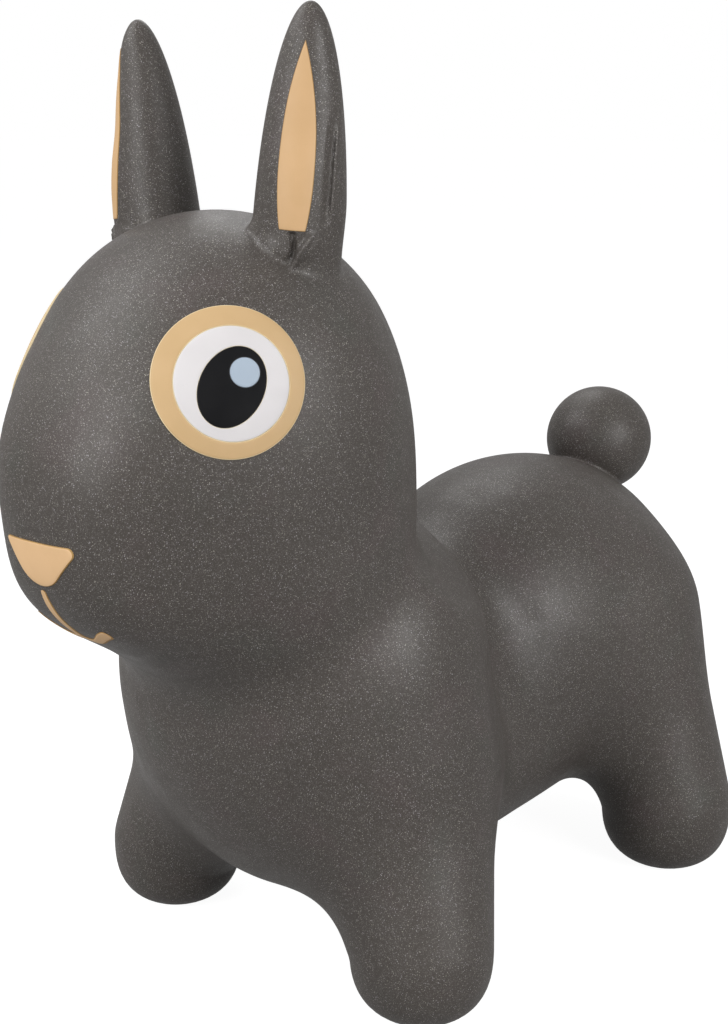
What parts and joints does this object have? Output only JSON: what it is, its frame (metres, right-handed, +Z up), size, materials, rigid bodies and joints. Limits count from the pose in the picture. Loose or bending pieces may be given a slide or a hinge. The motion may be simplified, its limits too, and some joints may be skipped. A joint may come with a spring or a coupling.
{
  "type": "bouncy ride on animal",
  "caption": "Inflatable ride-on rabbit: a hollow bouncy body on stubby legs, with upright ears to hold, a ball tail, a seat hollow in its back, and a painted face.",
  "frame": {"origin": "on the floor, under the middle of the rabbit's overall box", "axes": "+X to the rabbit's left, +Y to its tail, +Z up, so its face looks along -Y"},
  "size_m": [0.2956, 0.5326, 0.5495],
  "materials": {
    "skin": "satin soft vinyl with fine pale specks",
    "tan_paint": "matte",
    "white_paint": "matte",
    "black_paint": "satin",
    "glint_paint": "matte",
    "plug": "satin"
  },
  "bodies": {
    "feet": {"foot_front_left": "skin", "foot_front_right": "skin", "foot_rear_left": "skin", "foot_rear_right": "skin", "leg_front_left": "skin", "leg_front_right": "skin", "leg_rear_left": "skin", "leg_rear_right": "skin"},
    "body": {"torso_skin": "skin", "head_skin": "skin", "ear_root_left": "skin", "ear_root_right": "skin", "tail_root": "skin", "eye_ring_left": "tan_paint", "eye_ring_right": "tan_paint", "eye_white_left": "white_paint", "eye_white_right": "white_paint", "pupil_left": "black_paint", "pupil_right": "black_paint", "pupil_glint_left": "glint_paint", "pupil_glint_right": "glint_paint", "nose": "tan_paint", "mouth": "tan_paint"},
    "left_ear": {"ear_left": "skin", "ear_panel_left": "tan_paint"},
    "right_ear": {"ear_right": "skin", "ear_panel_right": "tan_paint"},
    "tail": {"tail": "skin"},
    "plug": {"air_plug": "plug"}
  },
  "joints": [
    {"name": "bounce", "type": "slide", "parent": "feet", "child": "body", "axis": [0, 0, 1], "range_m": [-0.022, 0], "stiffness_N_per_m": 8000, "springref_m": 0.002, "deforming": ["leg_front_left", "leg_front_right", "leg_rear_left", "leg_rear_right"]},
    {"name": "left_ear_flex", "type": "hinge", "parent": "body", "child": "left_ear", "pos_m": [0.0573, -0.1319, 0.4393], "axis": [1, 0, 0], "range_deg": [-20, 15], "stiffness_Nm_per_rad": 1, "deforming": ["ear_root_left"]},
    {"name": "right_ear_flex", "type": "hinge", "parent": "body", "child": "right_ear", "pos_m": [-0.0573, -0.1319, 0.4393], "axis": [1, 0, 0], "range_deg": [-20, 15], "stiffness_Nm_per_rad": 1, "deforming": ["ear_root_right"]},
    {"name": "tail_flex", "type": "hinge", "parent": "body", "child": "tail", "pos_m": [0, 0.212, 0.255], "axis": [1, 0, 0], "range_deg": [-10, 10], "stiffness_Nm_per_rad": 0.8, "deforming": ["tail_root"]},
    {"name": "plug_pull", "type": "slide", "parent": "body", "child": "plug", "axis": [0, 1, 0], "range_m": [0, 0.02]}
  ]
}
